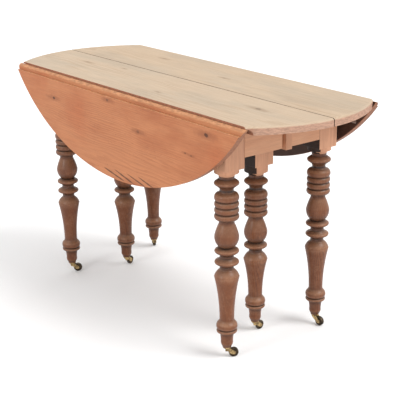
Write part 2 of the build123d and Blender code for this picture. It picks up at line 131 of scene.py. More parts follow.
def between(tree: Tree, value: Any, low: float, high: float, end: float = 1.0) -> Socket:
    """Turns a value into a mask that rises smoothly.

    Args:
        tree: the tree that gets the node.
        value: the socket to read.
        low, high: the values at which the mask starts and stops rising.
        end: the mask's value above high; it is 0 below low.

    Returns:
        The mask.
    """
    inputs = {"Value": value, "From Min": low, "From Max": high, "To Min": 0.0, "To Max": end}
    node = put(tree, "ShaderNodeMapRange", inputs, interpolation_type="SMOOTHSTEP", clamp=True)
    return node.outputs["Result"]


def blend(tree: Tree, amount: Any, first: Any, second: Any, mode: str = "MIX") -> Socket:
    """Mixes two colours, each a socket or plain RGB.

    Args:
        tree: the tree that gets the node.
        amount: how much of the second colour there is.
        first, second: the colours.
        mode: the way they are mixed.

    Returns:
        The mixed colour.
    """
    colours = [c if isinstance(c, Socket) else (*c, 1.0) for c in (first, second)]
    node = put(tree, "ShaderNodeMix", data_type="RGBA", blend_type=mode, clamp_result=True)
    for name, value in (("Factor_Float", amount), ("A_Color", colours[0]), ("B_Color", colours[1])):
        socket = next(s for s in node.inputs if s.identifier == name)
        if isinstance(value, Socket):
            tree.links.new(value, socket)
        else:
            socket.default_value = value
    return next(s for s in node.outputs if s.identifier == "Result_Color")


def noise(tree: Tree, vector: Any, stretch: RGB, detail: float = 4.0, rough: float = 0.55) -> Socket:
    """Noise with its own scale along each axis.

    Args:
        tree: the tree that gets the nodes.
        vector: the place to read it at.
        stretch: its scale along X, Y and Z.
        detail, rough: how many finer layers it has, and how strong they are.

    Returns:
        The noise's value.
    """
    scaled = vector_calc(tree, "MULTIPLY", vector, stretch)[0]
    inputs = {"Vector": scaled, "Scale": 1.0, "Detail": detail, "Roughness": rough}
    return put(tree, "ShaderNodeTexNoise", inputs).outputs["Fac"]


def shader_group(name: str, inputs: Sockets, outputs: Sequence[str], draw: Callable) -> Tree:
    """Makes a node group once, and returns it from then on.

    Args:
        name: the group's name.
        inputs: name, socket type and default of each input.
        outputs: the name of each output; all of them are values.
        draw: function that draws the nodes, given the tree, the inputs and the outputs.

    Returns:
        The group's tree.
    """
    if name in bpy.data.node_groups:
        return bpy.data.node_groups[name]
    tree = bpy.data.node_groups.new(name, "ShaderNodeTree")
    for label, kind, default in inputs:
        socket = tree.interface.new_socket(label, in_out="INPUT", socket_type=kind)
        if default is not None:
            socket.default_value = default
    for label in outputs:
        tree.interface.new_socket(label, in_out="OUTPUT", socket_type=FLOAT)
    draw(tree, tree.nodes.new("NodeGroupInput").outputs, tree.nodes.new("NodeGroupOutput").inputs)
    return tree


def use_group(tree: Tree, group: Tree, inputs: dict) -> Any:
    """Places a group in a tree.

    Args:
        tree: the tree that gets the group.
        group: the group.
        inputs: input name, to a value or to the socket that feeds it.

    Returns:
        The group's outputs.
    """
    node = put(tree, "ShaderNodeGroup", node_tree=group)
    for key, value in inputs.items():
        if isinstance(value, Socket):
            tree.links.new(value, node.inputs[key])
        else:
            node.inputs[key].default_value = value
    return node.outputs


def draw_grain(tree: Tree, given: Any, out: Any) -> None:
    """Growth rings about a pith, fine fibres and slow changes of tone, with fibres along X.

    Args:
        tree: the group's tree.
        given: the outputs of its input node.
        out: the inputs of its output node.
    """
    vector = given["Vector"]
    drift = noise(tree, vector, (1.3, 5.0, 5.0), 3.0)
    swirl = noise(tree, vector, (3.4, 30.0, 30.0), 3.0)
    centred = vector_calc(tree, "SUBTRACT", vector, given["Pith"])[0]
    flat = vector_calc(tree, "MULTIPLY", centred, (0.0, 1.0, 1.0))[0]
    radius = vector_calc(tree, "LENGTH", flat)[1]
    wander = calc(tree, "MULTIPLY", calc(tree, "SUBTRACT", drift, 0.5), given["Wander"])
    lesser = calc(tree, "MULTIPLY", given["Wander"], 0.22)
    small = calc(tree, "MULTIPLY", calc(tree, "SUBTRACT", swirl, 0.5), lesser)
    bent = calc(tree, "ADD", radius, calc(tree, "ADD", wander, small))
    turns = calc(tree, "FRACT", calc(tree, "DIVIDE", bent, given["Spacing"]))
    late = between(tree, turns, 0.25, 0.92)
    close = calc(tree, "SUBTRACT", 1.0, between(tree, turns, 0.92, 1.0))
    patchy = between(tree, noise(tree, vector, (2.0, 14.0, 14.0), 3.0), 0.30, 0.68)
    tree.links.new(calc(tree, "MULTIPLY", calc(tree, "MULTIPLY", late, close), patchy), out["Rings"])
    tree.links.new(noise(tree, vector, (11.0, 620.0, 620.0), 4.0, 0.62), out["Fibre"])
    tree.links.new(noise(tree, vector, (2.6, 10.0, 10.0), 6.0, 0.64), out["Tone"])
    tree.links.new(noise(tree, vector, (3.5, 3.0, 3.0), 3.0, 0.5), out["Smear"])
    flecks = noise(tree, vector, (75.0, 520.0, 520.0), 2.0, 0.5)
    tree.links.new(calc(tree, "MULTIPLY", between(tree, flecks, 0.66, 0.74), patchy), out["Flecks"])


def draw_knot(tree: Tree, given: Any, out: Any) -> None:
    """One knot: a dark core, and a wider halo drawn out along X.

    Args:
        tree: the group's tree.
        given: the outputs of its input node.
        out: the inputs of its output node.
    """
    offset = vector_calc(tree, "SUBTRACT", given["Vector"], given["Centre"])[0]
    ragged = noise(tree, given["Vector"], (90.0, 90.0, 90.0), 2.0)
    lengths = []
    for squeeze in ((0.60, 1.0, 1.0), (0.22, 1.0, 1.0)):
        scaled = vector_calc(tree, "MULTIPLY", offset, squeeze)[0]
        lengths.append(vector_calc(tree, "LENGTH", scaled)[1])
    rough = calc(tree, "MULTIPLY", calc(tree, "ADD", ragged, 0.5), given["Radius"])
    core = calc(tree, "DIVIDE", lengths[0], rough)
    halo = calc(tree, "DIVIDE", lengths[1], rough)
    tree.links.new(calc(tree, "SUBTRACT", 1.0, between(tree, core, 0.55, 1.1)), out["Core"])
    tree.links.new(calc(tree, "SUBTRACT", 1.0, between(tree, halo, 0.6, 2.4)), out["Halo"])


def draw_split(tree: Tree, given: Any, out: Any) -> None:
    """One split or scratch: a thin wavering line from one point to another, tapered at its ends.

    Args:
        tree: the group's tree.
        given: the outputs of its input node.
        out: the inputs of its output node.
    """
    waver = noise(tree, given["Vector"], (28.0, 28.0, 28.0), 3.0)
    along = vector_calc(tree, "SUBTRACT", given["End"], given["Start"])[0]
    place = vector_calc(tree, "SUBTRACT", given["Vector"], given["Start"])[0]
    reach = vector_calc(tree, "DOT_PRODUCT", place, along)[1]
    whole = vector_calc(tree, "DOT_PRODUCT", along, along)[1]
    share = put(tree, "ShaderNodeClamp", {"Value": calc(tree, "DIVIDE", reach, whole)}).outputs[0]
    nearest = put(tree, "ShaderNodeVectorMath", {0: along, "Scale": share}, operation="SCALE").outputs[0]
    away = vector_calc(tree, "DISTANCE", place, nearest)[1]
    shift = calc(tree, "MULTIPLY", calc(tree, "SUBTRACT", waver, 0.5), 0.006)
    bowed = calc(tree, "ABSOLUTE", calc(tree, "ADD", away, shift))
    taper = calc(tree, "MULTIPLY", calc(tree, "MULTIPLY", share, calc(tree, "SUBTRACT", 1.0, share)), 4.0)
    width = calc(tree, "MULTIPLY", given["Width"], calc(tree, "ADD", 0.15, taper))
    outside = between(tree, calc(tree, "DIVIDE", bowed, width), 0.35, 1.0)
    tree.links.new(calc(tree, "SUBTRACT", 1.0, outside), out["Mark"])


def draw_facing(tree: Tree, given: Any, out: Any) -> None:
    """Marks what faces one way, and the rim that faces square to it, with a ragged amount.

    Args:
        tree: the group's tree.
        given: the outputs of its input node.
        out: the inputs of its output node.
    """
    turned = vector_calc(tree, "DOT_PRODUCT", given["Normal"], given["Facing"])[1]
    ragged = noise(tree, given["Vector"], (30.0, 30.0, 30.0), 4.0)
    shift = calc(tree, "MULTIPLY", calc(tree, "SUBTRACT", ragged, 0.5), 0.35)
    tree.links.new(between(tree, calc(tree, "ADD", turned, shift), 0.45, 0.80), out["Mark"])
    level = calc(tree, "SUBTRACT", 1.0, calc(tree, "ABSOLUTE", turned))
    tree.links.new(between(tree, calc(tree, "ADD", level, shift), 0.45, 0.80), out["Rim"])
    tree.links.new(noise(tree, given["Vector"], (70.0, 70.0, 260.0), 5.0, 0.7), out["Pores"])


def draw_grime_and_shade(tree: Tree, given: Any, out: Any) -> None:
    """Blotchy dirt and painted shade in the hollows that a mask marks, and rubbed bare patches away from
    them.

    Args:
        tree: the group's tree.
        given: the outputs of its input node.
        out: the inputs of its output node.
    """
    patches = noise(tree, given["Vector"], (38.0, 38.0, 38.0), 5.0, 0.65)
    fine = noise(tree, given["Vector"], (210.0, 210.0, 210.0), 3.0, 0.6)
    mottled = calc(tree, "ADD", calc(tree, "MULTIPLY", patches, 0.8), calc(tree, "MULTIPLY", fine, 0.4))
    hollow = calc(tree, "MULTIPLY", given["Hollow"], between(tree, mottled, 0.25, 0.75))
    # Painted shade: every hollow darkens by its depth, and blotchy dirt adds to that.
    tree.links.new(calc(tree, "ADD", calc(tree, "MULTIPLY", given["Hollow"], 0.45),
                        calc(tree, "MULTIPLY", hollow, 0.55)), out["DirtAndShade"])
    tree.links.new(between(tree, mottled, 0.50, 0.82), out["Rubbed"])


def grain_group() -> Tree:
    """The grain that every wooden finish uses."""
    inputs = (("Vector", VECTOR, None), ("Spacing", FLOAT, 0.006), ("Wander", FLOAT, 0.05),
              ("Pith", VECTOR, None))
    return shader_group("pine_grain", inputs, ("Rings", "Fibre", "Tone", "Smear", "Flecks"), draw_grain)


def knot_group() -> Tree:
    """One knot, placed by its centre and radius."""
    inputs = (("Vector", VECTOR, None), ("Centre", VECTOR, None), ("Radius", FLOAT, 0.01))
    return shader_group("knot", inputs, ("Core", "Halo"), draw_knot)


def split_group() -> Tree:
    """One split, placed by its two ends."""
    inputs = (("Vector", VECTOR, None), ("Start", VECTOR, None), ("End", VECTOR, None),
              ("Width", FLOAT, 0.001))
    return shader_group("split", inputs, ("Mark",), draw_split)


def facing_group() -> Tree:
    """What faces one way."""
    inputs = (("Vector", VECTOR, None), ("Normal", VECTOR, None), ("Facing", VECTOR, None))
    return shader_group("facing", inputs, ("Mark", "Rim", "Pores"), draw_facing)


def grime_and_shade_group() -> Tree:
    """Dirt with painted shade in hollows, and rubbed patches, for wood and metal."""
    inputs = (("Vector", VECTOR, None), ("Hollow", FLOAT, 0.0))
    return shader_group("grime_and_shade", inputs, ("DirtAndShade", "Rubbed"), draw_grime_and_shade)


# --------------------------------------------------------------------------------- finishes


# Parts of a wooden finish, as multiples of its own colours.
SMEAR_LIGHT, PALE_LIGHT, FLECK_DARK, PORE_DARK, HALO_DARK, CORE_DARK = 1.22, 1.12, 0.35, 0.62, 0.70, 0.16
FIBRE_SHADE: RGB = (0.74, 0.72, 0.70)

# Where stains, smears, pale streaks, fibres and pores fade in, in values of their noise.
STAIN_BAND, SMEAR_BAND, PALE_BAND = (-0.08, 0.16), (0.52, 0.70), (0.55, 0.72)
FIBRE_BAND, PORE_BAND = (0.25, 0.75), (0.35, 0.65)

# Height of the relief, in metres, and how far it stirs the roughness.
WOOD_RELIEF, METAL_RELIEF = 0.0006, 0.0002
ROUGHNESS_SPREAD = 0.16


def shaded(colour: RGB, factor: float) -> RGB:
    """Makes a colour lighter or darker.

    Args:
        colour: the colour.
        factor: above 1 for lighter, below 1 for darker.

    Returns:
        The new colour.
    """
    return tuple(min(1.0, factor * part) for part in colour)


@dataclass(frozen=True)
class Knot:
    """A knot's centre in the table's frame, and its radius, in metres."""

    centre: RGB
    radius: float
    depth: float = 0.85


@dataclass(frozen=True)
class Split:
    """The two ends of a split in the table's frame, and its width, in metres."""

    start: RGB
    end: RGB
    width: float = 0.0012


@dataclass(frozen=True)
class FaceTint:
    """The colour that a piece takes where it faces one way, or on the rim around that face."""

    facing: RGB
    colour: RGB
    amount: float = 0.9
    rim: bool = False


@dataclass(frozen=True)
class WoodFinish:
    """A wooden surface: its colours, its grain and its wear, with a painted top light and painted shade where
    it is aged.
    """

    name: str
    early: RGB
    late: RGB
    stain: RGB
    grain: Grain = Grain.ALONG
    ring_strength: float = 0.35
    ring_spacing: float = 0.006
    wander: float = 0.06
    pith: RGB = (0.0, 0.0, -0.2)
    stain_amount: float = 0.4
    stain_from: float = 0.50
    smear: float = 0.25
    flecks: float = 0.4
    roughness: float = 0.6
    shine: float = 0.5
    coat: float = 0.0
    coat_roughness: float = 0.25
    bump: float = 0.25
    knots: tuple[Knot, ...] = ()
    splits: tuple[Split, ...] = ()
    tints: tuple[FaceTint, ...] = ()
    # The wear colour also paints a top light, and the dirt colour also paints shade, on aged turnings.
    wear_and_top_light: RGB | None = None
    dirt_and_shade: RGB = (0.035, 0.022, 0.017)

    def material(self) -> bpy.types.Material:
        """The finish's material, made the first time it is asked for."""
        if self.name in bpy.data.materials:
            return bpy.data.materials[self.name]
        made = bpy.data.materials.new(self.name)
        made.use_nodes = True
        tree = made.node_tree
        tree.nodes.clear()
        coordinates = put(tree, "ShaderNodeTexCoord").outputs
        place, normal = coordinates["Object"], coordinates["Normal"]
        turn = {"Vector": place, "Rotation": GRAIN_TURN[self.grain]}
        turned = put(tree, "ShaderNodeMapping", turn).outputs[0]
        grain = use_group(tree, grain_group(), {"Vector": turned, "Spacing": self.ring_spacing,
                                                "Wander": self.wander, "Pith": self.pith})
        rings = calc(tree, "MULTIPLY", grain["Rings"], self.ring_strength)
        colour = blend(tree, rings, self.early, self.late)
        edges = [self.stain_from + shift for shift in STAIN_BAND]
        tone = between(tree, grain["Tone"], *edges, self.stain_amount)
        colour = blend(tree, tone, colour, self.stain)
        smear = between(tree, grain["Smear"], *SMEAR_BAND, self.smear)
        colour = blend(tree, smear, colour, shaded(self.stain, SMEAR_LIGHT))
        pale = between(tree, calc(tree, "SUBTRACT", 1.0, grain["Smear"]), *PALE_BAND, self.smear)
        colour = blend(tree, pale, colour, shaded(self.early, PALE_LIGHT))
        colour = blend(tree, calc(tree, "MULTIPLY", grain["Flecks"], self.flecks), colour,
                       shaded(self.late, FLECK_DARK))
        lift = between(tree, grain["Fibre"], *FIBRE_BAND)
        shade = blend(tree, lift, FIBRE_SHADE, (1.0, 1.0, 1.0))
        colour = blend(tree, 0.8, colour, shade, "MULTIPLY")
        height = calc(tree, "ADD", calc(tree, "MULTIPLY", grain["Fibre"], 0.6), rings)
        colour, height = self._marked(tree, place, colour, height)
        for tint in self.tints:
            faces = {"Vector": place, "Normal": normal, "Facing": tint.facing}
            marks = use_group(tree, facing_group(), faces)
            mark = calc(tree, "MULTIPLY", marks["Rim" if tint.rim else "Mark"], tint.amount)
            pores = between(tree, marks["Pores"], *PORE_BAND)
            tinted = blend(tree, pores, shaded(tint.colour, PORE_DARK), tint.colour)
            colour = blend(tree, mark, colour, tinted)
        stirred = calc(tree, "MULTIPLY", grain["Fibre"], ROUGHNESS_SPREAD)
        rough = calc(tree, "ADD", self.roughness - ROUGHNESS_SPREAD / 2, stirred)
        if self.wear_and_top_light is not None:
            colour, rough = self._aged(tree, place, normal, colour, rough)
        bump = put(tree, "ShaderNodeBump", {"Strength": self.bump, "Distance": WOOD_RELIEF, "Height": height})
        inputs = {"Base Color": colour, "Roughness": rough, "Normal": bump.outputs[0],
                  "Specular IOR Level": self.shine, "Coat Weight": self.coat,
                  "Coat Roughness": self.coat_roughness}
        surface = put(tree, "ShaderNodeBsdfPrincipled", inputs)
        put(tree, "ShaderNodeOutputMaterial", {"Surface": surface.outputs[0]})
        return made

    def _marked(self, tree: Tree, place: Any, colour: Any, height: Any) -> tuple[Any, Any]:
        """Adds the knots and splits, in colour and as small hollows.

        Args:
            tree: the material's tree.
            place: where each point is.
            colour, height: the wood's so far.

        Returns:
            The new colour and height.
        """
        halo_colour = shaded(self.late, HALO_DARK)
        core_colour = shaded(self.late, CORE_DARK)
        for knot in self.knots:
            spot = {"Vector": place, "Centre": knot.centre, "Radius": knot.radius}
            marks = use_group(tree, knot_group(), spot)
            colour = blend(tree, calc(tree, "MULTIPLY", marks["Halo"], 0.5), colour, halo_colour)
            colour = blend(tree, calc(tree, "MULTIPLY", marks["Core"], knot.depth), colour, core_colour)
            height = calc(tree, "SUBTRACT", height, calc(tree, "MULTIPLY", marks["Core"], knot.depth))
        for split in self.splits:
            ends = {"Vector": place, "Start": split.start, "End": split.end, "Width": split.width}
            mark = use_group(tree, split_group(), ends)["Mark"]
            colour = blend(tree, calc(tree, "MULTIPLY", mark, 0.8), colour, core_colour)
            height = calc(tree, "SUBTRACT", height, mark)
        return colour, height

    def _aged(self, tree: Tree, place: Any, normal: Any, colour: Any, rough: Any) -> tuple[Any, Any]:
        """Adds dirt and painted shade in turned hollows, painted shade on what faces down, wear on ridges,
        and dust with a painted top light on what faces up.

        Args:
            tree: the material's tree.
            place, normal: where each point is, and which way it faces.
            colour, rough: the wood's so far.

        Returns:
            The new colour and roughness.
        """
        hollow = put(tree, "ShaderNodeAttribute", attribute_name="hollow").outputs["Fac"]
        grime_and_shade = use_group(tree, grime_and_shade_group(), {"Vector": place, "Hollow": hollow})
        upward = put(tree, "ShaderNodeSeparateXYZ", {0: normal}).outputs[2]
        # Dust and a painted top light: what faces up takes the lighter wear colour.
        dust_and_top_light = calc(tree, "MULTIPLY", between(tree, upward, 0.02, 0.55, 0.9),
                     calc(tree, "ADD", calc(tree, "MULTIPLY", grime_and_shade["Rubbed"], 0.5), 0.5))
        rubbed = calc(tree, "MULTIPLY", grime_and_shade["Rubbed"], 0.22)
        # Painted shade: what faces down is darker.
        painted_shade_beneath = between(tree, calc(tree, "MULTIPLY", upward, -1.0), 0.10, 0.70, 0.55)
        ridge = put(tree, "ShaderNodeAttribute", attribute_name="ridge").outputs["Fac"]
        edges = calc(tree, "MULTIPLY", ridge, calc(tree, "ADD", grime_and_shade["Rubbed"], 0.45))
        wear_and_top_light = calc(tree, "MAXIMUM", calc(tree, "MAXIMUM", dust_and_top_light, rubbed), edges)
        colour = blend(tree, put(tree, "ShaderNodeClamp", {"Value": wear_and_top_light}).outputs[0], colour, self.wear_and_top_light)
        # Dirt and painted shade in the hollows, and painted shade on what faces down.
        colour = blend(tree, calc(tree, "MAXIMUM", grime_and_shade["DirtAndShade"], painted_shade_beneath), colour, self.dirt_and_shade)
        return colour, calc(tree, "ADD", rough, calc(tree, "MULTIPLY", dust_and_top_light, 0.25))


@dataclass(frozen=True)
class MetalFinish:
    """Old metal: polished where it is rubbed, dull and dark elsewhere."""

    name: str
    bright: RGB
    dull: RGB
    roughness: float = 0.35

    def material(self) -> bpy.types.Material:
        """The finish's material, made the first time it is asked for."""
        if self.name in bpy.data.materials:
            return bpy.data.materials[self.name]
        made = bpy.data.materials.new(self.name)
        made.use_nodes = True
        tree = made.node_tree
        tree.nodes.clear()
        place = put(tree, "ShaderNodeTexCoord").outputs["Object"]
        broad = noise(tree, place, (90.0, 90.0, 90.0), 4.0, 0.6)
        fine = noise(tree, place, (700.0, 700.0, 700.0), 2.0)
        tarnish = between(tree, calc(tree, "ADD", broad, calc(tree, "MULTIPLY", fine, 0.3)), 0.5, 0.85)
        rough = calc(tree, "ADD", self.roughness, calc(tree, "MULTIPLY", tarnish, 0.3))
        bump = put(tree, "ShaderNodeBump", {"Strength": 0.2, "Distance": METAL_RELIEF, "Height": fine})
        inputs = {"Base Color": blend(tree, tarnish, self.bright, self.dull), "Metallic": 0.9,
                  "Roughness": rough, "Normal": bump.outputs[0]}
        surface = put(tree, "ShaderNodeBsdfPrincipled", inputs)
        put(tree, "ShaderNodeOutputMaterial", {"Surface": surface.outputs[0]})
        return made


PINE_ORANGE = (0.51, 0.198, 0.083)
PINE_RED = (0.30, 0.088, 0.032)
NEAR_BLACK = (0.017, 0.008, 0.006)
FINISHES: dict[str, WoodFinish | MetalFinish] = {
    "front_top": WoodFinish(
        "dry_pale_pine", (0.575, 0.445, 0.32), (0.41, 0.27, 0.165), (0.44, 0.37, 0.285),
        pith=(0.0, -0.16, 0.56),
        ring_strength=0.5, ring_spacing=0.0042, wander=0.03, stain_amount=0.5, roughness=0.72, shine=0.3,
        knots=(Knot((-0.424, -0.08, 0.74), 0.005, 0.3), Knot((0.453, -0.085, 0.74), 0.007, 0.45),
               Knot((0.10, -0.17, 0.74), 0.003, 0.4), Knot((-0.25, -0.05, 0.74), 0.003, 0.3)),
        tints=(FaceTint((0.0, 0.0, 1.0), (0.50, 0.285, 0.20), 0.9, True),
               FaceTint((0.0, 0.0, -1.0), (0.30, 0.17, 0.10)),
               FaceTint((0.0, -1.0, 0.0), (0.33, 0.115, 0.055)),
               # Painted shade: the seam face, toward the other half, is near-black.
               FaceTint((0.0, 1.0, 0.0), (0.022, 0.013, 0.009))),
    ),
    "back_top": WoodFinish(
        "dry_pale_pine_board", (0.575, 0.44, 0.31), (0.40, 0.265, 0.165), (0.44, 0.365, 0.28),
        pith=(0.0, 0.06, 0.58), ring_strength=0.5, ring_spacing=0.0045, wander=0.03, stain_amount=0.5,
        stain_from=0.47, roughness=0.72, shine=0.3,
        knots=(Knot((0.078, 0.103, 0.74), 0.004, 0.4), Knot((-0.30, 0.15, 0.74), 0.005, 0.25)),
        tints=(FaceTint((0.0, 0.0, 1.0), (0.50, 0.285, 0.20), 0.9, True),
               FaceTint((0.0, 0.0, -1.0), (0.30, 0.17, 0.10)),
               FaceTint((0.0, 1.0, 0.0), (0.33, 0.115, 0.055)),
               # Painted shade: the seam face, toward the other half, is near-black.
               FaceTint((0.0, -1.0, 0.0), (0.022, 0.013, 0.009))),
    ),
    "front_leaf": WoodFinish(
        "stained_pine", PINE_ORANGE, PINE_RED, (0.37, 0.108, 0.038), pith=(0.0, -0.02, 0.46),
        ring_strength=0.42, ring_spacing=0.0041, wander=0.05, stain_amount=0.65, stain_from=0.50, smear=0.75,
        flecks=0.6, roughness=0.55, shine=0.3,
        knots=(Knot((-0.349, -0.264, 0.657), 0.0055), Knot((-0.034, -0.264, 0.706), 0.0045, 0.5),
               Knot((0.445, -0.264, 0.695), 0.0065), Knot((0.125, -0.264, 0.639), 0.005, 0.4),
               Knot((0.351, -0.264, 0.624), 0.0022, 0.7), Knot((0.378, -0.264, 0.622), 0.0022, 0.7)),
        splits=(Split((-0.066, -0.264, 0.487), (0.043, -0.264, 0.468), 0.0030),
                Split((-0.010, -0.264, 0.494), (0.101, -0.264, 0.469), 0.0034),
                Split((0.055, -0.264, 0.496), (0.153, -0.264, 0.476), 0.0030),
                Split((0.118, -0.264, 0.499), (0.194, -0.264, 0.483), 0.0024)),
        tints=(FaceTint((0.0, 1.0, 0.0), (0.30, 0.13, 0.070), 0.85, True),
               # Painted highlight: upward faces, such as the ledge, are lighter; painted shade: the inner
               # face, toward the table, is near-black.
               FaceTint((0.0, 0.0, 1.0), (0.62, 0.29, 0.14)), FaceTint((0.0, 1.0, 0.0), NEAR_BLACK)),
    ),
    "back_leaf": WoodFinish(
        "stained_pine_board", PINE_ORANGE, PINE_RED, (0.37, 0.108, 0.038), pith=(0.0, 0.02, 0.48),
        ring_strength=0.5, ring_spacing=0.0038, wander=0.03, stain_amount=0.6, roughness=0.55, shine=0.3,
        knots=(Knot((0.30, 0.264, 0.64), 0.006), Knot((-0.22, 0.264, 0.60), 0.005)),
        tints=(FaceTint((0.0, 1.0, 0.0), (0.27, 0.115, 0.062), 0.85, True),
               # Painted highlight: upward faces, such as the ledge, are lighter; painted shade: the inner
               # face, toward the table, is near-black.
               FaceTint((0.0, 0.0, 1.0), (0.62, 0.29, 0.14)), FaceTint((0.0, -1.0, 0.0), NEAR_BLACK)),
    ),
    "rail": WoodFinish(
        "bare_pine_rail", (0.68, 0.355, 0.205), (0.42, 0.175, 0.085), (0.54, 0.235, 0.12), Grain.ACROSS,
        pith=(0.0, 0.36, 0.64), ring_strength=0.5, ring_spacing=0.005, wander=0.05, stain_amount=0.5,
        roughness=0.6,
        knots=(Knot((0.466, 0.125, 0.66), 0.0022, 0.9), Knot((0.466, -0.045, 0.675), 0.004, 0.4))),
    "long_rail": WoodFinish(
        "bare_pine_long_rail", (0.50, 0.26, 0.155), (0.34, 0.15, 0.08), (0.26, 0.12, 0.065),
        pith=(0.0, 0.0, 0.50), roughness=0.62),
    "stile": WoodFinish(
        "bare_pine_stile", (0.62, 0.31, 0.175), (0.38, 0.155, 0.08), (0.44, 0.19, 0.10), Grain.UPRIGHT,
        pith=(0.0, 0.02, -0.40), ring_strength=0.5, ring_spacing=0.005, wander=0.05, roughness=0.6),
    "block": WoodFinish(
        "bare_pine_block", (0.66, 0.335, 0.195), (0.40, 0.165, 0.085), (0.47, 0.225, 0.13), Grain.UPRIGHT,
        pith=(0.0, 0.05, 0.10), ring_strength=0.6, ring_spacing=0.0045, wander=0.04, roughness=0.6,
        stain_amount=0.5),
    # Painted shade: near-black for the front faces of the blocks behind the front row, which lie in the
    # table's shadow.
    "shade_painted_block": WoodFinish(
        "shade_painted_pine_block", (0.034, 0.018, 0.013), (0.020, 0.011, 0.008), (0.024, 0.013, 0.009),
        Grain.UPRIGHT, roughness=0.6, shine=0.3),
    "turning": WoodFinish(
        "turned_pine", (0.19, 0.058, 0.018), (0.070, 0.019, 0.007), (0.100, 0.029, 0.010), Grain.UPRIGHT,
        pith=(0.0, 0.0, 0.0), ring_strength=0.65, ring_spacing=0.005, wander=0.04, stain_amount=0.7,
        # Its wear colour also paints a lighter top, and its dirt colour painted shade in hollows and
        # underneath.
        roughness=0.42, shine=0.22, coat=0.30, coat_roughness=0.26, wear_and_top_light=(0.36, 0.185, 0.105),
        dirt_and_shade=(0.024, 0.012, 0.008)),
    "runner": WoodFinish(
        "planed_beech", (0.36, 0.205, 0.115), (0.25, 0.13, 0.075), (0.22, 0.115, 0.065), Grain.ACROSS,
        roughness=0.6),
    "beam": WoodFinish(
        "planed_beech_beam", (0.33, 0.19, 0.11), (0.23, 0.12, 0.07), (0.20, 0.105, 0.06), roughness=0.6),
    "brass": MetalFinish("aged_brass", (0.56, 0.40, 0.19), (0.15, 0.10, 0.05), 0.36),
    "wheel": MetalFinish("dark_brass", (0.11, 0.080, 0.052), (0.030, 0.023, 0.019), 0.40),
    "steel": MetalFinish("dull_steel", (0.40, 0.38, 0.36), (0.16, 0.12, 0.10), 0.45),
}


def dress(piece: bpy.types.Object, *names: str) -> None:
    """Gives a piece its finishes, one for each material slot.

    Args:
        piece: the piece.
        names: keys of FINISHES, in the order of the slots.
    """
    piece.data.materials.clear()
    for name in names:
        piece.data.materials.append(FINISHES[name].material())


# -------------------------------------------------------------------------- modelling helpers


def deselect() -> None:
    """Leaves nothing selected and no mode open."""
    if bpy.context.object is not None and bpy.context.object.mode != "OBJECT":
        bpy.ops.object.mode_set(mode="OBJECT")
    bpy.ops.object.select_all(action="DESELECT")


def choose(*pieces: bpy.types.Object) -> None:
    """Selects pieces and makes the first of them active."""
    deselect()
    for piece in pieces:
        piece.select_set(True)
    bpy.context.view_layer.objects.active = pieces[0]


def settle(piece: bpy.types.Object) -> None:
    """Moves a piece's place into its mesh, so that its object sits at the origin, unturned.

    Args:
        piece: the piece.
    """
    choose(piece)
    bpy.ops.object.transform_apply(location=True, rotation=True, scale=True)


def copy_of(piece: bpy.types.Object, name: str, placed: Matrix) -> bpy.types.Object:
    """Copies a piece with a mesh of its own.

    Args:
        piece: the piece to copy.
        name: the copy's name.
        placed: where the copy goes; it is worked into the mesh.

    Returns:
        The copy.
    """
    twin = piece.copy()
    twin.data = piece.data.copy()
    twin.name = name
    bpy.context.scene.collection.objects.link(twin)
    twin.data.transform(placed)
    return twin


def hand_over(piece: bpy.types.Object, body: str, slot: str, *nodes: str) -> None:
    """Hands a finished piece over to the frame.

    Args:
        piece: the piece.
        body: the body that it rides on.
        slot: not used.
        nodes: the CAD nodes that it stands for.
    """
    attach(piece, body)
    if nodes:
        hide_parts(*nodes)
    LOG.info("%s rides on %s with %d faces", piece.name, body, len(piece.data.polygons))


def arc_through(start: Point, via: Point, end: Point, steps: int) -> list[Point]:
    """Points along the circle arc from start through via to end, without the start.

    Args:
        start, via, end: three points of the arc.
        steps: the number of points.

    Returns:
        The points, the last of them the end.
    """
    (ax, ay), (bx, by), (cx, cy) = start, via, end
    scale = 2 * (ax * (by - cy) + bx * (cy - ay) + cx * (ay - by))
    squares = (ax * ax + ay * ay, bx * bx + by * by, cx * cx + cy * cy)
    ux = (squares[0] * (by - cy) + squares[1] * (cy - ay) + squares[2] * (ay - by)) / scale
    uy = (squares[0] * (cx - bx) + squares[1] * (ax - cx) + squares[2] * (bx - ax)) / scale
    radius = math.hypot(ax - ux, ay - uy)
    first, middle, last = (math.atan2(y - uy, x - ux) for x, y in (start, via, end))
    sweep = (last - first) % (2 * math.pi)
    if (middle - first) % (2 * math.pi) > sweep:
        sweep -= 2 * math.pi
    angles = [first + sweep * step / steps for step in range(1, steps + 1)]
    return [(ux + radius * math.cos(a), uy + radius * math.sin(a)) for a in angles]


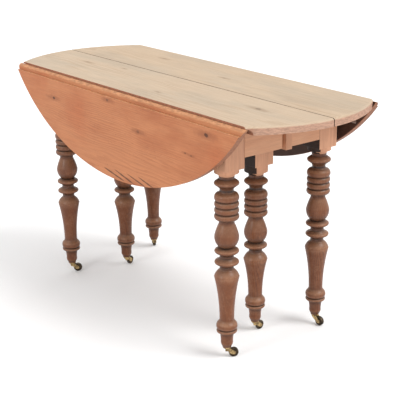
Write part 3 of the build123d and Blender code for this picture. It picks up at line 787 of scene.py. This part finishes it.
def spun(name: str, outline: Sequence[Point], around: int, closed: bool = False) -> bpy.types.Object:
    """Turns an outline round the Z axis: it is extruded point by point, then spun.

    Args:
        name: the piece's name.
        outline: (radius, height) points in millimetres.
        around: the number of steps round the axis.
        closed: whether the outline goes back to its start; if not, it ends on the axis.

    Returns:
        The turned piece, smooth-shaded.
    """
    deselect()
    bpy.ops.mesh.primitive_plane_add(size=MM, location=(0.0, 0.0, 0.0))
    piece = bpy.context.object
    piece.name = name
    bpy.ops.object.mode_set(mode="EDIT")
    bpy.ops.mesh.merge(type="CENTER")
    bpy.ops.transform.translate(value=(outline[0][0] * MM, 0.0, outline[0][1] * MM))
    last = outline[0] if closed else (0.0, outline[-1][1])
    for before, after in zip(outline, [*outline[1:], last]):
        step = ((after[0] - before[0]) * MM, 0.0, (after[1] - before[1]) * MM)
        bpy.ops.mesh.extrude_region_move(TRANSFORM_OT_translate={"value": step})
    bpy.ops.mesh.select_all(action="SELECT")
    bpy.ops.mesh.spin(steps=around, angle=2 * math.pi, center=(0, 0, 0), axis=(0, 0, 1))
    bpy.ops.mesh.select_all(action="SELECT")
    bpy.ops.mesh.remove_doubles(threshold=0.00002)
    bpy.ops.mesh.normals_make_consistent(inside=False)
    bpy.ops.object.mode_set(mode="OBJECT")
    bpy.ops.object.shade_smooth_by_angle(angle=SMOOTH_ANGLE)
    return piece


# -------------------------------------------------------------------------------------- legs


@dataclass
class TurnedLeg:
    """One pattern of leg, with its square block at the top; sizes in millimetres.

    Each run of a turning is (radius, distance): one point is straight, two are an arc. The distances
    of turning, ring and cap go down; those of foot_turning go up from the foot's underside.
    """

    name: str
    block_bottom: float
    block_top: float
    second_ring: bool
    shoulder: float
    bare: float = 10.0
    square: float = 72.0
    stem_inset: float = 0.5
    stem_overlap: float = 2.0
    worn_edge: float = 2.2
    foot: float = 34.0
    around: int = 56
    arc_steps: int = 7
    groove_reach: float = 11.0
    ridge_reach: float = 7.0
    groove_depth: float = 4.5
    slope_depth: float = 22.0
    ridge_height: float = 3.5
    turning: tuple[Run, ...] = (
        ((27.0, 3.0), (22.5, 12.0)),
        ((22.0, 18.0),),
        ((33.0, 26.0),),
        ((36.0, 31.0), (33.0, 36.0)),
        ((22.0, 44.5),),
        ((20.0, 51.0), (22.5, 58.5)),
        ((30.0, 61.0),),
        ((35.5, 70.0), (34.0, 80.0)),
        ((31.0, 83.5),),
        ((35.5, 92.5), (31.0, 101.5)),
        ((35.5, 111.0), (31.0, 120.5)),
        ((36.0, 129.0), (31.0, 138.0)),
        ((22.5, 142.0),),
        ((22.5, 150.0),),
        ((29.5, 167.0), (35.4, 187.0)),
        ((33.2, 205.0), (24.0, 220.0)),
        ((22.5, 223.0),),
        ((33.0, 229.5),),
        ((35.5, 234.0), (33.0, 238.5)),
        ((21.5, 245.0),),
        ((20.2, 251.0), (21.5, 257.0)),
    )
    ring: tuple[Run, ...] = (
        ((33.0, 263.5),),
        ((35.5, 268.0), (33.0, 272.5)),
        ((21.5, 279.0),),
        ((20.2, 285.0), (21.5, 291.0)),
    )
    cap: Run = ((30.0, 8.0), (36.7, 21.0))
    waist: Point = (25.6, 0.48)
    foot_turning: tuple[Run, ...] = (
        ((21.5, 92.0),),
        ((22.3, 87.0), (25.0, 82.0)),
        ((31.2, 71.0), (29.6, 61.5)),
        ((26.6, 58.5),),
        ((30.6, 53.5), (27.5, 48.5)),
        ((21.2, 45.5),),
        ((19.0, 34.0), (18.0, 20.0)),
        ((17.3, 10.0), (14.0, 4.0)),
        ((13.0, 0.0),),
    )

    def profile(self) -> list[Point]:
        """The turned outline from the block down, as (radius, height above the floor)."""
        top = self.block_bottom - self.shoulder
        widest = self.square / 2 - self.stem_inset
        points: list[Point] = [(widest, self.block_bottom + self.stem_overlap), (widest, top)]
        runs = self.turning + (self.ring if self.second_ring else ())
        self._follow(points, [[(r, top - d) for r, d in run] for run in runs])
        neck = points[-1][1]
        cap = [(r, neck - d) for r, d in self.cap]
        thin = (self.foot_turning[0][0][0], self.foot + self.foot_turning[0][0][1])
        waist = (self.waist[0], cap[1][1] + self.waist[1] * (thin[1] - cap[1][1]))
        feet = [[(r, self.foot + h) for r, h in run] for run in self.foot_turning[1:]]
        self._follow(points, [cap, [waist, thin], *feet])
        return points

    def _follow(self, points: list[Point], runs: list[list[Point]]) -> None:
        """Adds the points of each run to an outline.

        Args:
            points: the outline, which grows.
            runs: one point for a straight run, two for an arc.
        """
        for run in runs:
            if len(run) == 1:
                points.append(run[0])
            else:
                points.extend(arc_through(points[-1], run[0], run[1], self.arc_steps))

    def build(self) -> bpy.types.Object:
        """Models the leg on the Z axis: the outline is extruded point by point and spun."""
        outline = self.profile()
        stem = spun(self.name, outline, self.around)
        self._mark_hollows(stem, outline)
        block = self._block()
        dress(stem, "turning")
        choose(stem, block)
        bpy.ops.object.join()
        settle(stem)
        # The third finish is painted shade, for block faces in the table's shadow.
        dress(stem, "turning", "block", "shade_painted_block")
        neck = (self.block_bottom - self.shoulder - self.bare) * MM
        for face in stem.data.polygons:
            if face.center.z > neck:
                face.material_index = 1
        return stem

    def _block(self) -> bpy.types.Object:
        """The square block, with its edges worn round."""
        deselect()
        middle = (self.block_top + self.block_bottom) / 2 * MM
        bpy.ops.mesh.primitive_cube_add(size=self.square * MM, location=(0.0, 0.0, middle))
        block = bpy.context.object
        block.scale[2] = (self.block_top - self.block_bottom) / self.square
        settle(block)
        bpy.ops.object.mode_set(mode="EDIT")
        bpy.ops.mesh.select_all(action="SELECT")
        bpy.ops.mesh.bevel(offset=self.worn_edge * MM, segments=3, profile=0.6)
        bpy.ops.object.mode_set(mode="OBJECT")
        bpy.ops.object.shade_smooth_by_angle(angle=SMOOTH_ANGLE)
        dress(block, "block")
        return block

    def _mark_hollows(self, stem: bpy.types.Object, outline: list[Point]) -> None:
        """Marks each point of a stem, for its finish: how deep in a groove, and how proud.

        Args:
            stem: the turned piece.
            outline: its outline, as (radius, height).
        """
        marks = {}
        for radius, height in outline:
            above = max(r for r, h in outline if 0.0 <= h - height < self.groove_reach)
            below = max(r for r, h in outline if 0.0 <= height - h < self.groove_reach)
            groove = (min(above, below) - radius) / self.groove_depth
            slope = (max(above, below) - radius) / self.slope_depth
            around = [r for r, h in outline if abs(h - height) < self.ridge_reach]
            proud = (radius - sum(around) / len(around)) / self.ridge_height
            marks[round(height, 2)] = (min(1.0, groove + slope), min(1.0, max(0.0, proud)))
        heights = sorted(marks)
        layers = [stem.data.attributes.new(name, "FLOAT", "POINT") for name in ("hollow", "ridge")]
        for vertex in stem.data.vertices:
            nearest = min(heights, key=lambda known: abs(known - vertex.co.z / MM))
            for layer, value in zip(layers, marks[nearest]):
                layer.data[vertex.index].value = value


@dataclass
class LegSet:
    """The six legs: four at the corners and two on the centre line."""

    blocks: dict[str, RGB] = field(
        default_factory=lambda: {"corner": (582.0, 717.0, 11.0), "middle": (542.5, 639.5, 22.0)})

    def build(self) -> None:
        """Models each pattern once and stands copies of it in their places."""
        for pattern, (bottom, top, shoulder) in self.blocks.items():
            leg = TurnedLeg(f"{pattern}_leg_pattern", bottom, top, pattern == "corner", shoulder).build()
            for place, (x, y) in LEG_PLACES.items():
                side, end = ((value > 0) - (value < 0) for value in (y, x))
                if (side != 0) == (pattern == "corner"):
                    turn = Matrix.Rotation(math.pi / 2 * (end + side), 4, "Z")
                    placed = Matrix.Translation((x * MM, y * MM, 0.0)) @ turn
                    twin = copy_of(leg, f"turned_leg_{place}", placed)
                    self._paint_shade(twin, side)
                    body = f"{place.split('_')[0]}_half" if side else "centre_frame"
                    hand_over(twin, body, "turned_wood", f"leg_{place}")
            bpy.data.objects.remove(leg)

    def _paint_shade(self, leg: bpy.types.Object, side: int) -> None:
        """Paints shade on the faces of a block that lie in the table's shadow: the front ones, behind the
        front row.

        Args:
            leg: the leg.
            side: the row it stands in: -1 at the front, 0 in the middle, 1 at the back.
        """
        for face in leg.data.polygons:
            if side >= 0 and face.material_index == 1 and face.normal.y < -0.6:
                face.material_index = 2


# ----------------------------------------------------------------------------------- casters


@dataclass
class CasterWheels:
    """The six wheels: a rounded tread, a hollowed web and a brass hub, bored for the axle; in millimetres."""

    trail: float = 20.0
    wheel_radius: float = 14.5
    hub_radius: float = 5.2
    half_outline: tuple[Point, ...] = (
        (2.06, 5.3), (4.3, 5.3), (5.2, 4.9), (5.6, 3.7), (9.6, 3.3), (10.6, 4.2), (11.0, 5.3), (11.6, 5.5),
        (12.6, 5.5), (13.5, 5.1), (14.2, 4.3), (14.5, 3.2), (14.5, 1.1),
    )
    headings: dict[str, float] = field(default_factory=lambda: {
        "front_left": 52.0, "front_right": 60.0, "middle_left": 110.0, "middle_right": 95.0,
        "back_left": 142.0, "back_right": 5.0,
    })

    def build(self) -> None:
        """Models one wheel and copies it to each caster."""
        mirrored = [(radius, -height) for radius, height in reversed(self.half_outline)]
        wheel = spun("caster_wheel_pattern", [*self.half_outline, *mirrored], 48, closed=True)
        dress(wheel, "wheel", "brass")
        for face in wheel.data.polygons:
            if math.hypot(face.center.x, face.center.y) < self.hub_radius * MM:
                face.material_index = 1
        for place, (x, y) in LEG_PLACES.items():
            angle = math.radians(self.headings[place])
            trail = (self.trail * math.cos(angle), self.trail * math.sin(angle))
            centre = Vector((x + trail[0], y + trail[1], self.wheel_radius))
            lateral = Vector((math.sin(angle), -math.cos(angle), 0.0))
            placed = Matrix.Translation(centre * MM) @ lateral.to_track_quat("Z", "X").to_matrix().to_4x4()
            twin = copy_of(wheel, f"wheel_{place}", placed)
            hand_over(twin, f"caster_roller_{place}", "wheel_brass", f"caster_wheel_{place}")
        bpy.data.objects.remove(wheel)


# -------------------------------------------------------------------------------- CAD pieces


@dataclass
class CarriedPieces:
    """The CAD nodes whose shape is right, each with a finish by the start of its name."""

    finishes: dict[str, str] = field(default_factory=lambda: {
        "front_top": "front_top", "back_top": "back_top",
        "front_leaf": "front_leaf", "back_leaf": "back_leaf",
        "front_rail": "long_rail", "back_rail": "long_rail",
        "front_end_rail": "rail", "back_end_rail": "rail", "meeting_stile": "stile",
        "front_runner": "runner", "back_runner": "runner", "centre_runner": "runner", "centre_beam": "beam",
        "front_loper": "runner", "back_loper": "runner", "front_glue": "beam", "back_glue": "beam",
        "seam_dowels": "runner", "caster_wheel": "wheel", "caster_fork": "brass",
        "front_caster": "brass", "back_caster": "brass", "middle_caster": "brass", "leg_": "turning",
    })
    default: str = "steel"

    def build(self) -> None:
        """Dresses every CAD node."""
        for node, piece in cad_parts.items():
            starts = [start for start in self.finishes if node.startswith(start)]
            finish = self.finishes[max(starts, key=len)] if starts else self.default
            dress(piece, finish)
            LOG.info("%s keeps its CAD shape in %s", node, finish)


# ------------------------------------------------------------------------------------ studio


@dataclass
class Studio:
    """Pale floor, soft light and the camera."""

    eye: RGB = (2.56966, -1.96055, 1.43302)
    yaw: float = 51.774
    pitch: float = 18.729
    roll: float = -0.610
    lens: float = 94.16
    sun_from: RGB = (0.80, 0.45, 1.05)
    sun_power: float = 1.75
    sun_spread: float = 32.0
    sky: float = 0.96
    glow_power: float = 26.0
    glow_from: RGB = (0.2, -3.6, 1.9)
    glow_towards: RGB = (0.0, 0.0, 0.4)
    glow_size: float = 0.9
    floor_size: float = 80.0

    def build(self) -> None:
        """Sets the whole stage."""
        self._camera()
        self._floor()
        data = bpy.data.lights.new("window", "SUN")
        data.energy = self.sun_power
        data.angle = math.radians(self.sun_spread)
        lamp = bpy.data.objects.new("window", data)
        lamp.rotation_euler = Vector(self.sun_from).to_track_quat("Z", "Y").to_euler()
        bpy.context.scene.collection.objects.link(lamp)
        self._glow()
        world = bpy.data.worlds.new("pale_room")
        world.use_nodes = True
        world.node_tree.nodes["Background"].inputs[0].default_value = (1.0, 1.0, 1.0, 1.0)
        world.node_tree.nodes["Background"].inputs[1].default_value = self.sky
        bpy.context.scene.world = world
        bpy.context.scene.view_settings.view_transform = "Standard"

    def _camera(self) -> None:
        """Camera at its place, turned by its yaw, pitch and roll."""
        yaw, pitch, roll = (math.radians(angle) for angle in (self.yaw, self.pitch, self.roll))
        ahead = Vector((-math.sin(yaw) * math.cos(pitch), math.cos(yaw) * math.cos(pitch), -math.sin(pitch)))
        level = Vector((math.cos(yaw), math.sin(yaw), 0.0))
        rise = level.cross(ahead)
        right = math.cos(roll) * level + math.sin(roll) * rise
        up = math.cos(roll) * rise - math.sin(roll) * level
        turn = Matrix((right, up, -ahead)).transposed().to_4x4()
        data = bpy.data.cameras.new("view")
        data.lens = self.lens
        data.sensor_width = 36.0
        camera = bpy.data.objects.new("view", data)
        camera.matrix_world = Matrix.Translation(self.eye) @ turn
        bpy.context.scene.collection.objects.link(camera)
        bpy.context.scene.camera = camera

    def _floor(self) -> None:
        """Wide pale floor."""
        deselect()
        bpy.ops.mesh.primitive_plane_add(size=self.floor_size, location=(0.0, 0.0, 0.0))
        floor = bpy.context.object
        floor.name = "floor"
        paper = bpy.data.materials.new("pale_paper")
        paper.use_nodes = True
        shader = paper.node_tree.nodes["Principled BSDF"]
        shader.inputs["Base Color"].default_value = (0.93, 0.93, 0.93, 1.0)
        shader.inputs["Roughness"].default_value = 0.9
        shader.inputs["Specular IOR Level"].default_value = 0.1
        floor.data.materials.append(paper)

    def _glow(self) -> None:
        """Square panel of light that looks at the table and shines on what is polished."""
        data = bpy.data.lights.new("panel", "AREA")
        data.size = self.glow_size
        data.energy = self.glow_power
        lamp = bpy.data.objects.new("panel", data)
        lamp.location = self.glow_from
        ahead = Vector(self.glow_towards) - Vector(self.glow_from)
        lamp.rotation_euler = ahead.to_track_quat("-Z", "Y").to_euler()
        bpy.context.scene.collection.objects.link(lamp)


def main() -> None:
    """Builds the stage and the table."""
    logging.basicConfig(level=logging.INFO, format="%(message)s")
    for part in (Studio(), CarriedPieces(), LegSet(), CasterWheels()):
        part.build()
    deselect()


if __name__ == "__main__":
    main()
